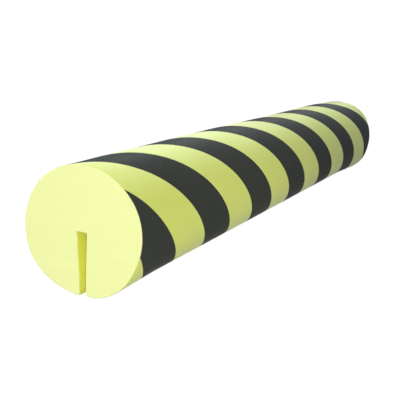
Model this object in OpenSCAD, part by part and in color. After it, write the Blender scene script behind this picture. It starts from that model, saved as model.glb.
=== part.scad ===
// Impact protection strip: a round bar of soft skinned foam with slanting warning bands
// printed on its skin. A slot from below to the middle grips the edge of a plate.
// The strip runs along Y and lies slot down on the small flat that the soft foam settles to.

/* [Foam bar] */
// Length of the strip
strip_len = 700; // [200:10:2000]
// Diameter of the foam bar
strip_d = 100; // [80:1:160]
// Width of the flat under the bar, the slot's mouth included
flat_w = 14; // [12:0.5:24]

/* [Slot] */
// Width of the slot at its root
slot_root_w = 8.5; // [5:0.1:16]
// Width of the slot at its mouth, where the foam springs in and grips
slot_mouth_w = 6.4; // [4.5:0.1:8]
// Depth of the slot, from the flat to its root
slot_depth = 49.5; // [20:0.5:70]
// Radius on the lips of the slot's mouth
lip_r = 1.2; // [0.5:0.1:1.8]

/* [Warning bands] */
// Distance from one band to the next along the strip
band_pitch = 112.5; // [60:0.5:200]
// Width of a band along the strip
band_w = 56; // [20:0.5:59]
// Length of strip that a band would take to go once round the bar
band_lead = 337.5; // [150:0.5:800]
// Distance along the crown from the front end to the first band
band_start = 12.3; // [0:0.1:60]
// Thickness of the printed film
film_t = 0.25; // [0.1:0.05:0.6]
// Clearance under the film
film_gap = 0.02; // [0.01:0.01:0.05]

/* [Hidden] */
foam_colour = [0.86, 0.87, 0.45];
print_colour = [0.17, 0.17, 0.17];
// Facets of a whole turn: circles stay true, and the bands get one column for each
$fn = 120;

bar_r = strip_d / 2;
// Angle from straight down to the edge of the flat, and height of the bar's axis above it
flat_a = asin(flat_w / strip_d);
axis_z = bar_r * cos(flat_a);

// Lean of a slot wall, and the centre of the rounding on its lip
wall_lean = atan((slot_root_w - slot_mouth_w) / 2 / slot_depth);
lip_x = slot_mouth_w / 2 + lip_r * (1 + sin(wall_lean)) / cos(wall_lean);

// The bands run round the skin in columns, from one edge of the flat to the other
columns = ceil($fn * (180 - flat_a) / 180);
column_a = 2 * (180 - flat_a) / columns;
film_in_r = bar_r / cos(column_a / 2) + film_gap;
film_out_r = film_in_r + film_t;
half_rise = band_lead * (180 - flat_a) / 360;
first_band = 1 - ceil((band_start + half_rise + band_w) / band_pitch);
last_band = ceil((strip_len + half_rise - band_start) / band_pitch) - 1;

// Angle of a column, from the crown towards +X
function column_angle(i) = flat_a - 180 + i * column_a;

// Point on a column at a radius, a distance y along the strip from its front end
function skin_point(i, r, y) = [
    r * sin(column_angle(i)),
    y - strip_len / 2,
    axis_z + r * cos(column_angle(i))
];

// Distance of a band's front edge from the strip's front end, on a column
function band_edge(k, i) = band_start + k * band_pitch + band_lead * column_angle(i) / 360;

// The four corners of a band's film on a column: inside and outside, front and back
function film_corners(k, i) = [
    skin_point(i, film_in_r, band_edge(k, i)),
    skin_point(i, film_out_r, band_edge(k, i)),
    skin_point(i, film_out_r, band_edge(k, i) + band_w),
    skin_point(i, film_in_r, band_edge(k, i) + band_w)
];

// Two triangles for the face that joins side s of a column's corners to the next column
function side_faces(i, s) =
    let (a = 4 * i + s, b = 4 * i + (s + 1) % 4)
    [[a, a + 4, b], [b, a + 4, b + 4]];

// Wedge of the slot's section, wide at the root
module slot_section() {
    polygon([
        [-slot_root_w / 2, slot_depth],
        [slot_root_w / 2, slot_depth],
        [slot_mouth_w / 2, 0],
        [slot_mouth_w / 2, -1],
        [-slot_mouth_w / 2, -1],
        [-slot_mouth_w / 2, 0]
    ]);
}

// What the rounding takes off the lip on the +X side
module lip_rounding() {
    difference() {
        polygon([
            [slot_mouth_w / 2 - 1, -1],
            [lip_x, -1],
            [lip_x, lip_r],
            [lip_x - lip_r * cos(wall_lean), lip_r * (1 + sin(wall_lean))],
            [slot_mouth_w / 2 - 1, lip_r]
        ]);
        translate([lip_x, lip_r]) circle(lip_r);
    }
}

// Section of the bar: a circle with the flat under it and the slot up to the middle
module bar_section() {
    difference() {
        translate([0, axis_z]) circle(bar_r);
        translate([-bar_r, -strip_d]) square([strip_d, strip_d]);
        slot_section();
        lip_rounding();
        mirror([1, 0]) lip_rounding();
    }
}

// The foam bar, one solid from end to end
module foam_profile() {
    color(foam_colour)
    rotate([90, 0, 0])
    linear_extrude(strip_len, center = true)
    bar_section();
}

// One printed band, wound on the skin from one edge of the flat to the other
module band(k) {
    polyhedron(
        points = [for (i = [0 : columns]) each film_corners(k, i)],
        faces = concat(
            [[0, 1, 2, 3]],
            [for (i = [0 : columns - 1], s = [0 : 3]) each side_faces(i, s)],
            [[for (s = [3 : -1 : 0]) 4 * columns + s]]
        )
    );
}

// All the bands, cut off at the ends of the strip and level with the flat
module warning_bands() {
    color(print_colour)
    intersection() {
        union() {
            for (k = [first_band : last_band]) band(k);
        }
        translate([-strip_d, -strip_len / 2, 0]) cube([2 * strip_d, strip_len, 2 * strip_d]);
    }
}

foam_profile();
warning_bands();
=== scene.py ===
"""Looks of a round foam impact protection strip with warning bands printed on its skin."""

import logging
import math
from dataclasses import dataclass
from enum import Enum

import bmesh
import bpy
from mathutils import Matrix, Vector


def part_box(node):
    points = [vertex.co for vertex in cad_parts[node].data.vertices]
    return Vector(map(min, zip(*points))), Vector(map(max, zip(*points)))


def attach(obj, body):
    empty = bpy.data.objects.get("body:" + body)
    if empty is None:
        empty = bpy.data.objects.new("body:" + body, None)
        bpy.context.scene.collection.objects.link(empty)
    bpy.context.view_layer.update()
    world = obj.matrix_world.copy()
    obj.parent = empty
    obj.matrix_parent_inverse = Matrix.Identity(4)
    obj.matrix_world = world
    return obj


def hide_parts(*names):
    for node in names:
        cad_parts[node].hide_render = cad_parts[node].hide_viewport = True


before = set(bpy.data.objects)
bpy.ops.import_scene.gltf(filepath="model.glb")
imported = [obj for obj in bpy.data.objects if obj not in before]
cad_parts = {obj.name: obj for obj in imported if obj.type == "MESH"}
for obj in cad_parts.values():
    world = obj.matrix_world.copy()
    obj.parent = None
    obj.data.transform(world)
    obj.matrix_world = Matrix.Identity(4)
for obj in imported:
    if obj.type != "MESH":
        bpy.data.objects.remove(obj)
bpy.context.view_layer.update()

LOG = logging.getLogger("strip")
MM = 0.001
# Points of a mesh this close together are one point, in metres.
TOUCH = 1e-6
# Places of the sockets on a colour Mix node, which has more than one of each name.
MIX_AMOUNT = 0
MIX_LOW = 6
MIX_HIGH = 7
MIX_RESULT = 2


class Surface(Enum):
    """Kinds of surface on the foam bar, in the order of its material slots."""

    SKIN = 0
    END = 1
    SLOT = 2


@dataclass(frozen=True)
class BarSizes:
    """Sizes of the foam bar in metres, in the frame of the CAD model.

    Attributes:
        front_y: Where the front end is.
        back_y: Where the back end is.
        radius: Radius of the bar.
        axis_z: Height of the bar's axis.
        slot_root_half: Half the slot's width at its root.
        slot_mouth_half: Half the slot's width at its mouth.
        slot_depth: Height of the slot's root.
        lip_r: Rounding on the lips of the mouth.
        root_r: Rounding in the corners of the root.
        rim_r: Rounding round the rims of the cut ends.
        film_t: Thickness of the print.
    """

    front_y: float
    back_y: float
    radius: float
    axis_z: float
    slot_root_half: float = 4.25 * MM
    slot_mouth_half: float = 3.2 * MM
    slot_depth: float = 49.5 * MM
    lip_r: float = 1.2 * MM
    root_r: float = 0.3 * MM
    rim_r: float = 0.45 * MM
    film_t: float = 0.06 * MM

    @classmethod
    def from_frame(cls, node: str) -> "BarSizes":
        """Reads the outer sizes from a CAD node's box.

        Args:
            node: Name of the foam bar's node.

        Returns:
            The sizes of the bar.
        """
        low, high = (Vector(corner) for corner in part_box(node))
        radius = (high.x - low.x) / 2
        return cls(front_y=low.y, back_y=high.y, radius=radius, axis_z=high.z - radius)

    @property
    def length(self) -> float:
        """Length of the bar."""
        return self.back_y - self.front_y

    @property
    def lip_angle(self) -> float:
        """Angle from straight down to where a lip's rounding meets the skin."""
        return math.asin((self.slot_mouth_half + self.lip_r) / self.radius)


def faded(share: float) -> float:
    """Falls smoothly from 1 where the share is 0 to 0 where it is 1."""
    return (1.0 - share) ** 2 * (1.0 + 2.0 * share)


@dataclass(frozen=True)
class Lobe:
    """A place where the soft foam stands out from the true round, or is drawn in.

    Attributes:
        middle_y: Where along the strip it is strongest.
        reach: How far from there it fades away along the strip.
        centre: Angle of its middle from straight down in degrees, positive towards +X.
        half_width: Angle from its middle to where it fades away round the bar, in degrees.
        swell: How far it stands out in its middle, negative where it is drawn in.
    """

    middle_y: float
    reach: float
    centre: float
    half_width: float
    swell: float

    def push(self, y: float, angle: float) -> float:
        """Works out how far the lobe moves the skin outwards.

        Args:
            y: Place along the strip.
            angle: Angle round the bar from straight down in radians, positive towards +X.

        Returns:
            The distance in metres.
        """
        along = min(abs(y - self.middle_y) / self.reach, 1.0)
        turn = abs((angle - math.radians(self.centre) + math.pi) % math.tau - math.pi)
        round_it = min(turn / math.radians(self.half_width), 1.0)
        return self.swell * faded(along) * math.cos(round_it * math.pi / 2) ** 2


@dataclass(frozen=True)
class SoftForm:
    """How the soft foam departs from a true round bar.

    Attributes:
        sizes: Sizes of the bar.
        lobes: The places where its skin stands out or is drawn in.
        lip_lean: How far the lip towards +X leans into the slot at the front end.
        root_tilt: How much the slot's root falls towards +X there, over half its width.
        root_pivot: Where the falling root keeps its height, in half widths from its middle.
        slot_reach: How far along the strip the lean and the tilt fade away.
        lip_width: How far beside the slot the leaning lip fades away.
    """

    sizes: BarSizes
    lobes: tuple[Lobe, ...]
    lip_lean: float = 1.3 * MM
    root_tilt: float = 0.5 * MM
    root_pivot: float = -0.3
    slot_reach: float = 60 * MM
    lip_width: float = 20 * MM

    @classmethod
    def of_this_strip(cls, sizes: BarSizes) -> "SoftForm":
        """Gives the soft form that this strip has taken.

        Args:
            sizes: Sizes of the bar.

        Returns:
            The form.
        """
        front = sizes.front_y
        back = sizes.back_y
        round_front = (
            Lobe(front, 90 * MM, centre=-22, half_width=46, swell=-1.65 * MM),
            Lobe(front, 70 * MM, centre=31, half_width=36, swell=1.4 * MM),
            Lobe(front, 60 * MM, centre=3.5, half_width=5.5, swell=-1.4 * MM),
            Lobe(front, 60 * MM, centre=138, half_width=32, swell=-0.5 * MM),
            Lobe(front, 80 * MM, centre=-168, half_width=36, swell=-0.45 * MM),
        )
        round_back = (
            Lobe(back, 80 * MM, centre=40, half_width=40, swell=2.6 * MM),
            Lobe(back, 80 * MM, centre=128, half_width=36, swell=1.0 * MM),
            Lobe(back, 90 * MM, centre=-175, half_width=42, swell=-2.3 * MM),
        )
        along_crown = (
            Lobe(front, 500 * MM, centre=-152, half_width=56, swell=0.9 * MM),
            Lobe(front + 270 * MM, 200 * MM, centre=-160, half_width=45, swell=0.85 * MM),
            Lobe(back, 500 * MM, centre=-160, half_width=50, swell=0.9 * MM),
        )
        return cls(sizes, round_front + round_back + along_crown)

    def settle(self, bm: bmesh.types.BMesh) -> None:
        """Moves the points of a true round shape to where the soft foam lies.

        Args:
            bm: Mesh whose points are moved.
        """
        for vert in bm.verts:
            vert.co = self._settled(vert.co)

    def _settled(self, point: Vector) -> Vector:
        """Moves one point.

        Args:
            point: A point on or in the true round bar.

        Returns:
            The point on or in the settled bar.
        """
        down = self.sizes.axis_z - point.z
        angle = math.atan2(point.x, down)
        share = min(math.hypot(point.x, down) / self.sizes.radius, 1.0) ** 2
        push = share * sum(lobe.push(point.y, angle) for lobe in self.lobes)
        moved = Vector((point.x + push * math.sin(angle), point.y, point.z - push * math.cos(angle)))
        moved.z = max(moved.z, self.sizes.film_t)
        return moved + self._slot_shift(point)

    def _slot_shift(self, point: Vector) -> Vector:
        """Works out how the slot at the front end departs from a straight cut.

        Args:
            point: A point on or in the true round bar.

        Returns:
            How far it moves.
        """
        s = self.sizes
        at_front = max(1.0 - (point.y - s.front_y) / self.slot_reach, 0.0) ** 2
        low = min(max(1.0 - point.z / s.slot_depth, 0.0), 1.0)
        beside = max(1.0 - max(point.x - s.slot_mouth_half, 0.0) / self.lip_width, 0.0) ** 2
        lean = self.lip_lean * low * beside if point.x > 0 else 0.0
        at_root = abs(point.z - s.slot_depth) < s.lip_r and abs(point.x) < s.slot_root_half + s.root_r
        tilt = self.root_tilt * (point.x / s.slot_root_half - self.root_pivot) if at_root else 0.0
        return Vector((-lean * at_front, 0, -tilt * at_front))


@dataclass
class FoamBar:
    """The foam bar: a round skin, two cut ends and the slot from below.

    Attributes:
        sizes: Sizes of the bar.
        form: How its soft foam lies.
        round_steps: Facets from the crown to a lip.
        long_cuts: Cuts across the bar along its length.
        lip_steps: Facets across the rounding of a lip.
        root_steps: Facets across the rounding in a corner of the root.
        rim_steps: Facets across the rounding of a rim.
        end_share: Share of a rim's rounding, from the cut on, that shows as cut foam.
        skin_depth: How deep under the round skin the walls of the slot begin.
    """

    sizes: BarSizes
    form: SoftForm
    round_steps: int = 90
    long_cuts: int = 139
    lip_steps: int = 6
    root_steps: int = 2
    rim_steps: int = 3
    end_share: float = 0.9
    skin_depth: float = 2 * MM

    def build(self) -> bpy.types.Object:
        """Models the bar.

        Returns:
            The finished object.
        """
        bm = bmesh.new()
        self._extrude(bm, self._section(bm))
        self._round_lips(bm)
        long_edges = [e for e in bm.edges if self._runs_along(e)]
        bmesh.ops.subdivide_edges(bm, edges=long_edges, cuts=self.long_cuts, use_grid_fill=True)
        self._round_rims(bm)
        self.form.settle(bm)
        bmesh.ops.recalc_face_normals(bm, faces=bm.faces[:])
        self._sort_surfaces(bm)
        return finished_object("foam_bar", bm)

    def _section(self, bm: bmesh.types.BMesh) -> bmesh.types.BMFace:
        """Draws the section at the front end, the right half first.

        Args:
            bm: Empty mesh to draw in.

        Returns:
            The section's face.
        """
        s = self.sizes
        crown = bm.verts.new((0, s.front_y, s.axis_z + s.radius))
        lip_corner = math.asin(s.slot_mouth_half / s.radius)
        arc = bmesh.ops.spin(
            bm, geom=[crown], cent=(0, s.front_y, s.axis_z), axis=(0, 1, 0),
            angle=math.pi - lip_corner, steps=self.round_steps,
        )
        last = next(v for v in arc["geom_last"] if isinstance(v, bmesh.types.BMVert))
        last = self._draw_to(bm, last, (s.slot_root_half, s.slot_depth))
        self._draw_to(bm, last, (0, s.slot_depth))
        bmesh.ops.mirror(bm, geom=bm.verts[:] + bm.edges[:], axis="X", merge_dist=TOUCH)
        bmesh.ops.remove_doubles(bm, verts=bm.verts[:], dist=TOUCH)
        return bmesh.ops.contextual_create(bm, geom=bm.edges[:])["faces"][0]

    def _draw_to(
        self, bm: bmesh.types.BMesh, start: bmesh.types.BMVert, target: tuple[float, float],
    ) -> bmesh.types.BMVert:
        """Draws one straight side of the section.

        Args:
            bm: Mesh that holds the section.
            start: The point to draw from.
            target: The x and z to draw to.

        Returns:
            The point at the end of the side.
        """
        new = next(v for v in bmesh.ops.extrude_vert_indiv(bm, verts=[start])["verts"])
        new.co = Vector((target[0], self.sizes.front_y, target[1]))
        return new

    def _extrude(self, bm: bmesh.types.BMesh, section: bmesh.types.BMFace) -> None:
        """Draws the section out to the back end.

        Args:
            bm: Mesh that holds the section.
            section: The section's face.
        """
        made = bmesh.ops.extrude_face_region(bm, geom=[section])["geom"]
        moved = [v for v in made if isinstance(v, bmesh.types.BMVert)]
        bmesh.ops.translate(bm, verts=moved, vec=(0, self.sizes.length, 0))

    def _runs_along(self, edge: bmesh.types.BMEdge) -> bool:
        """Says whether an edge runs from end to end."""
        return abs(edge.verts[0].co.y - edge.verts[1].co.y) > self.sizes.length / 2

    def _round_lips(self, bm: bmesh.types.BMesh) -> None:
        """Rounds the lips of the slot's mouth and the corners of its root.

        Args:
            bm: Mesh of the bar.
        """
        s = self.sizes
        lip_z = s.axis_z - math.sqrt(s.radius ** 2 - s.slot_mouth_half ** 2)
        for x, z, offset, segments in (
            (s.slot_mouth_half, lip_z, s.lip_r, self.lip_steps),
            (s.slot_root_half, s.slot_depth, s.root_r, self.root_steps),
        ):
            edges = [
                e for e in bm.edges
                if self._runs_along(e)
                and abs(abs(e.verts[0].co.x) - x) < TOUCH
                and abs(e.verts[0].co.z - z) < MM
            ]
            bmesh.ops.bevel(
                bm, geom=edges, offset=offset, offset_type="OFFSET", segments=segments,
                profile=0.5, affect="EDGES", material=-1,
            )

    def _round_rims(self, bm: bmesh.types.BMesh) -> None:
        """Rounds the rims of both cut ends, and frames each end so that it shades flat.

        Args:
            bm: Mesh of the bar.
        """
        rims = {e for face in self._cut_ends(bm) for e in face.edges}
        bmesh.ops.bevel(
            bm, geom=list(rims), offset=self.sizes.rim_r, offset_type="OFFSET", segments=self.rim_steps,
            profile=0.5, affect="EDGES", material=-1,
        )
        bmesh.ops.inset_individual(
            bm, faces=self._cut_ends(bm), thickness=self.sizes.rim_r, use_even_offset=True,
        )

    def _cut_ends(self, bm: bmesh.types.BMesh) -> list[bmesh.types.BMFace]:
        """Finds the faces of the two cut ends, the only ones with more than four corners."""
        return [f for f in bm.faces if len(f.verts) > 4]

    def _sort_surfaces(self, bm: bmesh.types.BMesh) -> None:
        """Gives each face its surface and its shading.

        Args:
            bm: Mesh of the bar.
        """
        for face in bm.faces:
            face.smooth = True
            face.material_index = self._surface_at(face.calc_center_median()).value

    def _surface_at(self, middle: Vector) -> Surface:
        """Tells what kind of surface a face of the bar has.

        Args:
            middle: Middle of the face.

        Returns:
            The kind of surface.
        """
        s = self.sizes
        if min(middle.y - s.front_y, s.back_y - middle.y) < s.rim_r * self.end_share:
            return Surface.END
        under_skin = math.hypot(middle.x, middle.z - s.axis_z) < s.radius - self.skin_depth
        beside_slot = abs(middle.x) < s.slot_root_half + s.root_r and middle.z < s.slot_depth + MM
        if under_skin and beside_slot:
            return Surface.SLOT
        return Surface.SKIN


@dataclass
class WarningBands:
    """The black bands that are printed on the skin.

    Attributes:
        sizes: Sizes of the bar.
        form: How its soft foam lies.
        pitch: Distance from one band to the next along the strip.
        width: Width of a band along the strip.
        lead: Length of strip that a band would take to go once round.
        start: Distance along the crown from the front end to the first band.
        drift: Angle by which the print has slipped round the crown at the front end.
        drift_reach: How far along the strip this slip fades away.
        round_steps: Facets of a band round the bar.
        width_steps: Facets across a band.
        edge_cosine: Cosine of the lean from the skin past which a face is the film's narrow edge.
    """

    sizes: BarSizes
    form: SoftForm
    pitch: float = 112.5 * MM
    width: float = 56 * MM
    lead: float = 337.5 * MM
    start: float = 12.3 * MM
    drift: float = math.radians(2.0)
    drift_reach: float = 42 * MM
    round_steps: int = 176
    width_steps: int = 11
    edge_cosine: float = 0.5

    def build(self) -> bpy.types.Object:
        """Models all the bands as one thin film.

        Returns:
            The finished object.
        """
        bm = bmesh.new()
        reach = self.lead * self._half_turn / math.tau
        first = 1 - math.ceil((self.start + reach + self.width) / self.pitch)
        last = math.ceil((self.sizes.length + reach - self.start) / self.pitch) - 1
        self._wind(bm, first)
        band = bm.verts[:] + bm.edges[:] + bm.faces[:]
        for number in range(1, last - first + 1):
            copy = bmesh.ops.duplicate(bm, geom=band)["geom"]
            moved = [v for v in copy if isinstance(v, bmesh.types.BMVert)]
            bmesh.ops.translate(bm, verts=moved, vec=(0, number * self.pitch, 0))
        self._cut_to_length(bm)
        bmesh.ops.remove_doubles(bm, verts=bm.verts[:], dist=TOUCH)
        self._slip(bm)
        self.form.settle(bm)
        self._thicken(bm)
        self._sharpen_edges(bm)
        return finished_object("printed_bands", bm)

    @property
    def _half_turn(self) -> float:
        """Angle from the crown to where the print ends at a lip."""
        return math.pi - self.sizes.lip_angle

    def _outwards(self, face: bmesh.types.BMFace) -> Vector:
        """Gives the direction from the bar's axis to a face."""
        middle = face.calc_center_median()
        return Vector((middle.x, 0, middle.z - self.sizes.axis_z)).normalized()

    def _wind(self, bm: bmesh.types.BMesh, number: int) -> None:
        """Winds one band on the true round skin, from lip to lip.

        Args:
            bm: Empty mesh that gets the band.
            number: Which band, counted from the first on the crown.
        """
        s = self.sizes
        turn = self._half_turn
        low_y = s.front_y + self.start + number * self.pitch - self.lead * turn / math.tau
        corner = bm.verts.new((-s.radius * math.sin(turn), low_y, s.axis_z + s.radius * math.cos(turn)))
        bmesh.ops.spin(
            bm, geom=[corner], cent=(0, 0, s.axis_z), axis=(0, 1, 0), angle=0,
            dvec=(0, self.width / self.width_steps, 0), steps=self.width_steps,
        )
        bmesh.ops.spin(
            bm, geom=bm.verts[:] + bm.edges[:], cent=(0, 0, s.axis_z), axis=(0, 1, 0), angle=2 * turn,
            dvec=(0, self.lead * 2 * turn / math.tau / self.round_steps, 0), steps=self.round_steps,
        )

    def _cut_to_length(self, bm: bmesh.types.BMesh) -> None:
        """Cuts the bands where the rounding of each end begins.

        Args:
            bm: Mesh of the bands.
        """
        s = self.sizes
        for y, side in ((s.front_y + s.rim_r, -1), (s.back_y - s.rim_r, 1)):
            bmesh.ops.bisect_plane(
                bm, geom=bm.verts[:] + bm.edges[:] + bm.faces[:], dist=TOUCH,
                plane_co=(0, y, 0), plane_no=(0, side, 0), clear_outer=True,
            )

    def _slip(self, bm: bmesh.types.BMesh) -> None:
        """Turns the print a little round the bar near the front end, but not at the lips.

        Args:
            bm: Mesh of the bands.
        """
        s = self.sizes
        for vert in bm.verts:
            along = min((vert.co.y - s.front_y) / self.drift_reach, 1.0)
            angle = math.atan2(vert.co.x, vert.co.z - s.axis_z)
            angle -= self.drift * faded(along) * math.cos(angle / 2) ** 2
            vert.co.x = s.radius * math.sin(angle)
            vert.co.z = s.axis_z + s.radius * math.cos(angle)

    def _thicken(self, bm: bmesh.types.BMesh) -> None:
        """Turns the bands' faces outwards and gives them the thickness of the film.

        Args:
            bm: Mesh of the bands.
        """
        bmesh.ops.recalc_face_normals(bm, faces=bm.faces[:])
        inwards = [f for f in bm.faces if f.normal.dot(self._outwards(f)) < 0]
        bmesh.ops.reverse_faces(bm, faces=inwards)
        bmesh.ops.solidify(bm, geom=bm.faces[:], thickness=-self.sizes.film_t)
        bmesh.ops.recalc_face_normals(bm, faces=bm.faces[:])

    def _sharpen_edges(self, bm: bmesh.types.BMesh) -> None:
        """Lets the film shade smoothly round the bar, and sharply at its own narrow edges.

        Args:
            bm: Mesh of the bands.
        """
        for face in bm.faces:
            face.smooth = abs(face.normal.dot(self._outwards(face))) > self.edge_cosine
        for edge in bm.edges:
            edge.smooth = all(face.smooth for face in edge.link_faces)


def finished_object(name: str, bm: bmesh.types.BMesh) -> bpy.types.Object:
    """Turns a mesh under construction into an object of the scene.

    Args:
        name: Name of the object and its mesh.
        bm: The mesh, which is freed.

    Returns:
        The object, at the origin.
    """
    mesh = bpy.data.meshes.new(name)
    bm.to_mesh(mesh)
    bm.free()
    piece = bpy.data.objects.new(name, mesh)
    bpy.context.scene.collection.objects.link(piece)
    return piece


class NodeBoard:
    """The nodes of one material or world, under short names."""

    def __init__(self, owner: bpy.types.ID) -> None:
        """Starts on an empty board.

        Args:
            owner: The material or world that holds the nodes.
        """
        owner.use_nodes = True
        self.tree = owner.node_tree
        self.tree.nodes.clear()

    def add(self, kind: str, settings: dict | None = None, **values: object) -> bpy.types.Node:
        """Adds a node.

        Args:
            kind: The node's type, without the words ShaderNode.
            settings: Values of the node's own properties.
            **values: Values or sockets for its inputs, with _ for a space.

        Returns:
            The node.
        """
        node = self.tree.nodes.new("ShaderNode" + kind)
        for key, value in (settings or {}).items():
            setattr(node, key, value)
        for key, value in values.items():
            socket = node.inputs[key.replace("_", " ")]
            if isinstance(value, bpy.types.NodeSocket):
                self.tree.links.new(value, socket)
            else:
                socket.default_value = value
        return node

    def combine(self, operation: str, *terms: object) -> bpy.types.NodeSocket:
        """Adds a node that works out one number from others.

        Args:
            operation: What it does with them, such as MULTIPLY.
            *terms: Numbers or sockets, in order.

        Returns:
            The socket with the result.
        """
        node = self.tree.nodes.new("ShaderNodeMath")
        node.operation = operation
        for socket, term in zip(node.inputs, terms):
            if isinstance(term, bpy.types.NodeSocket):
                self.tree.links.new(term, socket)
            else:
                socket.default_value = term
        return node.outputs[0]

    def stretched(self, scale: tuple[float, float, float]) -> bpy.types.NodeSocket:
        """Gives the object's own coordinates, stretched.

        Args:
            scale: Factor along each axis.

        Returns:
            The socket with the coordinates.
        """
        place = self.add("TexCoord").outputs["Object"]
        return self.add("Mapping", Vector=place, Scale=scale).outputs["Vector"]

    def looked_at(self, path: bpy.types.bpy_prop_collection) -> bpy.types.NodeSocket:
        """Tells what is looked at from what only gives light.

        Args:
            path: Outputs of a Light Path node.

        Returns:
            The socket that is 1 for what the camera sees, by itself, in gloss or through glass.
        """
        mirrored = self.combine("MAXIMUM", path["Is Glossy Ray"], path["Is Transmission Ray"])
        return self.combine("MAXIMUM", path["Is Camera Ray"], mirrored)

    def tint(
        self, low: tuple | bpy.types.NodeSocket, high: tuple, amount: bpy.types.NodeSocket,
    ) -> bpy.types.NodeSocket:
        """Mixes two colours.

        Args:
            low: Colour where the amount is 0, or the socket that gives it.
            high: Colour where the amount is 1.
            amount: The socket with the amount.

        Returns:
            The socket with the colour.
        """
        node = self.add("Mix", {"data_type": "RGBA"})
        if isinstance(low, bpy.types.NodeSocket):
            self.tree.links.new(low, node.inputs[MIX_LOW])
        else:
            node.inputs[MIX_LOW].default_value = (*low, 1)
        node.inputs[MIX_HIGH].default_value = (*high, 1)
        self.tree.links.new(amount, node.inputs[MIX_AMOUNT])
        return node.outputs[MIX_RESULT]


@dataclass(frozen=True)
class FoamFinish:
    """Yellow-lime foam, as a smooth skin or as a cut face.

    Attributes:
        name: Name of the material.
        colour: Main colour.
        shade: Colour of its slightly darker clouds and streaks.
        stretch: How the clouds run along X, Y and Z, in clouds per metre.
        roughness: Roughness of the surface.
        level: Specular level of the surface.
        grain: Size of the fine relief, in grains per metre.
        relief: Depth of the fine relief in metres.
        sheen: How much it shines where it is seen along the surface.
        sheen_roughness: How widely it shines so.
    """

    name: str
    colour: tuple[float, float, float]
    shade: tuple[float, float, float]
    stretch: tuple[float, float, float]
    roughness: float
    level: float
    grain: float
    relief: float
    sheen: float = 0.0
    sheen_roughness: float = 0.3

    def material(self) -> bpy.types.Material:
        """Makes the material.

        Returns:
            The material.
        """
        made = bpy.data.materials.new(self.name)
        board = NodeBoard(made)
        place = board.stretched(self.stretch)
        clouds = board.add("TexNoise", Vector=place, Scale=1.0, Detail=4.0, Roughness=0.55).outputs["Fac"]
        amount = board.add("MapRange", Value=clouds, From_Min=0.3, From_Max=0.7).outputs["Result"]
        colour = board.tint(self.colour, self.shade, amount)
        even = board.stretched((1, 1, 1))
        cells = board.add("TexVoronoi", {"feature": "SMOOTH_F1"}, Vector=even, Scale=self.grain)
        bump = board.add("Bump", Strength=0.6, Distance=self.relief, Height=cells.outputs["Distance"])
        shader = board.add(
            "BsdfPrincipled", Base_Color=colour, Roughness=self.roughness, Normal=bump.outputs["Normal"],
            Specular_IOR_Level=self.level, Sheen_Weight=self.sheen, Sheen_Roughness=self.sheen_roughness,
        )
        board.add("OutputMaterial", Surface=shader.outputs["BSDF"])
        return made


@dataclass(frozen=True)
class Fleck:
    """A small spot where the print is paler.

    Attributes:
        place: Where it is.
        radius: Its radius.
        colour: Colour in its middle.
    """

    place: tuple[float, float, float]
    radius: float
    colour: tuple[float, float, float]


@dataclass(frozen=True)
class PrintFinish:
    """Matt black print with faint clouds, a fine grain and two pale flecks.

    Attributes:
        colour: Main colour.
        worn: Colour where the print is a little thin.
        clouds: Size of the thin places, in clouds per metre.
        flecks: The flecks.
        grain: Size of the fine relief, in grains per metre.
        relief: Depth of the fine relief.
        roughness: Roughness of the surface.
        level: Specular level of the surface.
        sheen: How much it shines where it is seen along the surface.
        sheen_roughness: How widely it shines so.
        sheen_tint: Colour of that shine.
    """

    colour: tuple[float, float, float] = (0.050, 0.057, 0.051)
    worn: tuple[float, float, float] = (0.058, 0.065, 0.059)
    clouds: float = 30
    flecks: tuple[Fleck, ...] = (
        Fleck((0.0289, -0.2776, 0.0903), 0.95 * MM, (0.16, 0.18, 0.175)),
        Fleck((0.0488, -0.3315, 0.0605), 3.0 * MM, (0.065, 0.078, 0.084)),
    )
    grain: float = 1400.0
    relief: float = 0.05 * MM
    roughness: float = 0.6
    level: float = 0.0
    sheen: float = 0.34
    sheen_roughness: float = 0.24
    sheen_tint: tuple[float, float, float] = (0.84, 0.91, 1.0)

    def material(self) -> bpy.types.Material:
        """Makes the material.

        Returns:
            The material.
        """
        made = bpy.data.materials.new("black_print")
        board = NodeBoard(made)
        clouds = board.add("TexNoise", Vector=board.stretched((self.clouds,) * 3), Scale=1.0, Detail=5.0)
        ground = board.tint(self.colour, self.worn, clouds.outputs["Fac"])
        place = board.add("TexCoord").outputs["Object"]
        for fleck in self.flecks:
            away = board.add("VectorMath", {"operation": "DISTANCE"}, Vector=place)
            away.inputs[1].default_value = fleck.place
            amount = board.add("MapRange", Value=away.outputs["Value"], From_Min=fleck.radius, From_Max=0.0)
            ground = board.tint(ground, fleck.colour, amount.outputs["Result"])
        grain = board.add("TexNoise", Vector=board.stretched((1, 1, 1)), Scale=self.grain, Detail=2.0)
        bump = board.add("Bump", Strength=0.4, Distance=self.relief, Height=grain.outputs["Fac"])
        shader = board.add(
            "BsdfPrincipled", Base_Color=ground, Roughness=self.roughness, Normal=bump.outputs["Normal"],
            Specular_IOR_Level=self.level, Sheen_Weight=self.sheen, Sheen_Roughness=self.sheen_roughness,
            Sheen_Tint=(*self.sheen_tint, 1),
        )
        board.add("OutputMaterial", Surface=shader.outputs["BSDF"])
        return made


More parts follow.
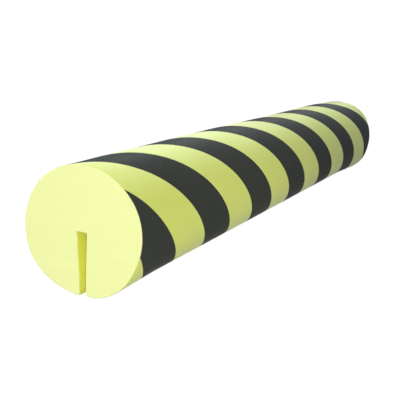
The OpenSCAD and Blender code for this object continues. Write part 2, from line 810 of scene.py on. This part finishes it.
@dataclass(frozen=True)
class Lamp:
    """A square soft lamp.

    Attributes:
        name: Name of the lamp.
        place: Where it hangs.
        target: What it looks at.
        side: Length of its side.
        power: Its power in watts.
        tint: Colour of its light.
    """

    name: str
    place: tuple[float, float, float]
    target: tuple[float, float, float]
    side: float
    power: float
    tint: tuple[float, float, float] = (1.0, 1.0, 1.0)

    def hang(self) -> None:
        """Hangs the lamp."""
        light = bpy.data.lights.new(self.name, "AREA")
        light.size = self.side
        light.energy = self.power
        light.color = self.tint
        lamp = bpy.data.objects.new(self.name, light)
        lamp.location = self.place
        aim = Vector(self.target) - Vector(self.place)
        lamp.rotation_euler = aim.to_track_quat("-Z", "Y").to_euler()
        bpy.context.scene.collection.objects.link(lamp)


# Places on the strip that lamps look at.
MIDDLE = (0.0, 0.0, 0.05)
NEAR_END = (0.0, -0.3, 0.03)
# Colours of lamps.
WARM = (1.0, 0.94, 0.84)
COOL = (0.86, 0.89, 1.0)
GREENISH = (0.97, 1.0, 0.98)


@dataclass
class Studio:
    """A white studio: floor, sky and lamps.

    Attributes:
        floor_radius: Radius of the floor.
        floor_grey: How much light the floor gives back to the strip.
        seen_grey: How much light it gives back to what looks at it.
        lift: Share of plain white in the floor under the strip, as it is looked at.
        fade_from: How far from the strip's middle that share begins to grow.
        fade_to: How far from the middle the floor is plain white.
        white: Brightness of the plain white, a little over 1 to make up for the lift's share.
        lamps: The lamps.
    """

    floor_radius: float = 6.0
    floor_grey: float = 0.36
    seen_grey: float = 0.9
    lift: float = 0.9
    fade_from: float = 0.6
    fade_to: float = 1.6
    white: float = 1.1
    lamps: tuple[Lamp, ...] = (
        Lamp("back_left", (-1.35, 2.0, 0.6), MIDDLE, 1.3, 14.5, COOL),
        Lamp("back_top", (-0.3, 1.6, 1.3), MIDDLE, 0.9, 8.5, COOL),
        Lamp("back_right", (0.2, 1.2, 0.9), MIDDLE, 0.6, 3.5, COOL),
        Lamp("front_left", (-1.1, -2.2, 1.2), MIDDLE, 1.4, 38.0),
        Lamp("overhead", (-0.25, -0.45, 0.9), (0.0, -0.2, 0.05), 0.8, 5.3, GREENISH),
        Lamp("low_front", (0.40, -1.0, 0.06), NEAR_END, 0.12, 3.3, WARM),
        Lamp("low_right", (0.55, -0.42, 0.02), NEAR_END, 0.03, 0.44, WARM),
        Lamp("low_side", (0.42, -0.12, 0.05), (0.0, -0.1, 0.03), 0.1, 0.35, WARM),
        Lamp("far_side", (0.28, 0.34, 0.3), (0.0, 0.32, 0.05), 0.1, 0.06),
    )

    def build(self) -> None:
        """Lays the floor and lights the studio."""
        self._lay_floor()
        self._hang_backdrop()
        for lamp in self.lamps:
            lamp.hang()

    def _lay_floor(self) -> None:
        """Lays a round white floor that keeps the strip's shadow and fades to plain white."""
        bm = bmesh.new()
        bmesh.ops.create_circle(bm, cap_ends=True, segments=96, radius=self.floor_radius)
        floor = finished_object("floor", bm)
        made = bpy.data.materials.new("white_floor")
        board = NodeBoard(made)
        path = board.add("LightPath").outputs
        place = board.add("TexCoord").outputs["Object"]
        distance = board.add("VectorMath", {"operation": "LENGTH"}, Vector=place).outputs["Value"]
        fade = board.add(
            "MapRange", Value=distance, From_Min=self.fade_from, From_Max=self.fade_to, To_Min=self.lift,
        ).outputs["Result"]
        looked_at = board.looked_at(path)
        grey = board.tint((self.floor_grey,) * 3, (self.seen_grey,) * 3, looked_at)
        matt = board.add("BsdfDiffuse", Color=grey)
        white = board.add("Emission", Strength=self.white)
        clear = board.add("BsdfTransparent")
        seen = board.add("MixShader", Fac=board.combine("MULTIPLY", looked_at, fade))
        underside = board.add("NewGeometry").outputs["Backfacing"]
        from_below = board.combine("MULTIPLY", path["Is Camera Ray"], underside)
        whole = board.add("MixShader", Fac=from_below)
        for node, pair in ((seen, (matt, white)), (whole, (seen, clear))):
            for socket, source in zip(node.inputs[1:], pair):
                board.tree.links.new(source.outputs[0], socket)
        board.add("OutputMaterial", Surface=whole.outputs[0])
        floor.data.materials.append(made)

    def _hang_backdrop(self) -> None:
        """Makes everything beyond the floor white to look at, and gives no light from there."""
        world = bpy.data.worlds.new("studio")
        bpy.context.scene.world = world
        board = NodeBoard(world)
        strength = board.looked_at(board.add("LightPath").outputs)
        backdrop = board.add("Background", Color=(1, 1, 1, 1), Strength=strength)
        board.add("OutputWorld", Surface=backdrop.outputs[0])


@dataclass
class PhotoCamera:
    """The camera at the photograph's angle.

    Attributes:
        from_front: Place of the camera from the middle of the front end.
        heading: How far it looks to the left of straight along the strip, in degrees.
        dip: How far it looks below level, in degrees.
        lens: Focal length in millimetres.
        sensor: Width of the sensor in millimetres.
        nearest: Least distance at which anything is seen.
    """

    from_front: tuple[float, float, float] = (0.3268, -0.5178, 0.1397)
    heading: float = 24.13
    dip: float = 10.81
    lens: float = 76.47
    sensor: float = 36.0
    nearest: float = 0.01

    def build(self, sizes: BarSizes) -> None:
        """Sets the camera up.

        Args:
            sizes: Sizes of the bar, which say where its front end is.
        """
        data = bpy.data.cameras.new("camera")
        data.lens = self.lens
        data.sensor_width = self.sensor
        data.clip_start = self.nearest
        camera = bpy.data.objects.new("camera", data)
        camera.location = Vector((0, sizes.front_y, sizes.axis_z)) + Vector(self.from_front)
        camera.rotation_euler = (math.radians(90 - self.dip), 0, math.radians(self.heading))
        bpy.context.scene.collection.objects.link(camera)
        bpy.context.scene.camera = camera


def dress(piece: bpy.types.Object, materials: list[bpy.types.Material], node: str) -> None:
    """Gives a piece its materials and its place in the frame.

    Args:
        piece: The piece.
        materials: Its materials, in the order of its slots.
        node: The CAD node that it stands for.
    """
    for material in materials:
        piece.data.materials.append(material)
    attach(piece, "root")
    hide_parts(node)
    LOG.info("%s: %d faces for node %s", piece.name, len(piece.data.polygons), node)


SKIN = FoamFinish(
    "foam_skin", colour=(0.80, 0.92, 0.215), shade=(0.77, 0.89, 0.205), stretch=(9, 6, 9),
    roughness=0.4, level=0.032, grain=700, relief=0.02 * MM, sheen=0.48, sheen_roughness=0.28,
)
# Cut foam at the ends is paler and bluer than the skin, as cut cells are. Its colour is also painted shade:
# darker than the foam's own colour, to offset the strong light from the front lamps on the ends.
CUT_END_WITH_PAINTED_SHADE = FoamFinish(
    "foam_end_with_painted_shade", colour=(0.754, 0.811, 0.385), shade=(0.73, 0.795, 0.357), stretch=(6, 20, 110),
    roughness=0.8, level=0.1, grain=900, relief=0.05 * MM,
)
# Walls of the slot: painted bounce light. They are the same cut foam as the ends, but lighter and more
# saturated, to stand in for light thrown back and forth between the walls.
SLOT_WALL_WITH_PAINTED_BOUNCE = FoamFinish(
    "foam_slot_with_painted_bounce", colour=(0.93, 0.955, 0.20), shade=(0.91, 0.935, 0.18), stretch=(60, 6, 60),
    roughness=0.8, level=0.1, grain=900, relief=0.05 * MM,
)


def main() -> None:
    """Builds the strip and the studio round it."""
    logging.basicConfig(level=logging.INFO, format="%(name)s: %(message)s")
    bpy.context.scene.view_settings.view_transform = "Standard"
    sizes = BarSizes.from_frame("foam_profile")
    PhotoCamera().build(sizes)
    Studio().build()
    form = SoftForm.of_this_strip(sizes)
    bar = FoamBar(sizes, form).build()
    foams = [finish.material() for finish in (SKIN, CUT_END_WITH_PAINTED_SHADE, SLOT_WALL_WITH_PAINTED_BOUNCE)]
    dress(bar, foams, "foam_profile")
    bands = WarningBands(sizes, form).build()
    dress(bands, [PrintFinish().material()], "warning_bands")


if __name__ == "__main__":
    main()
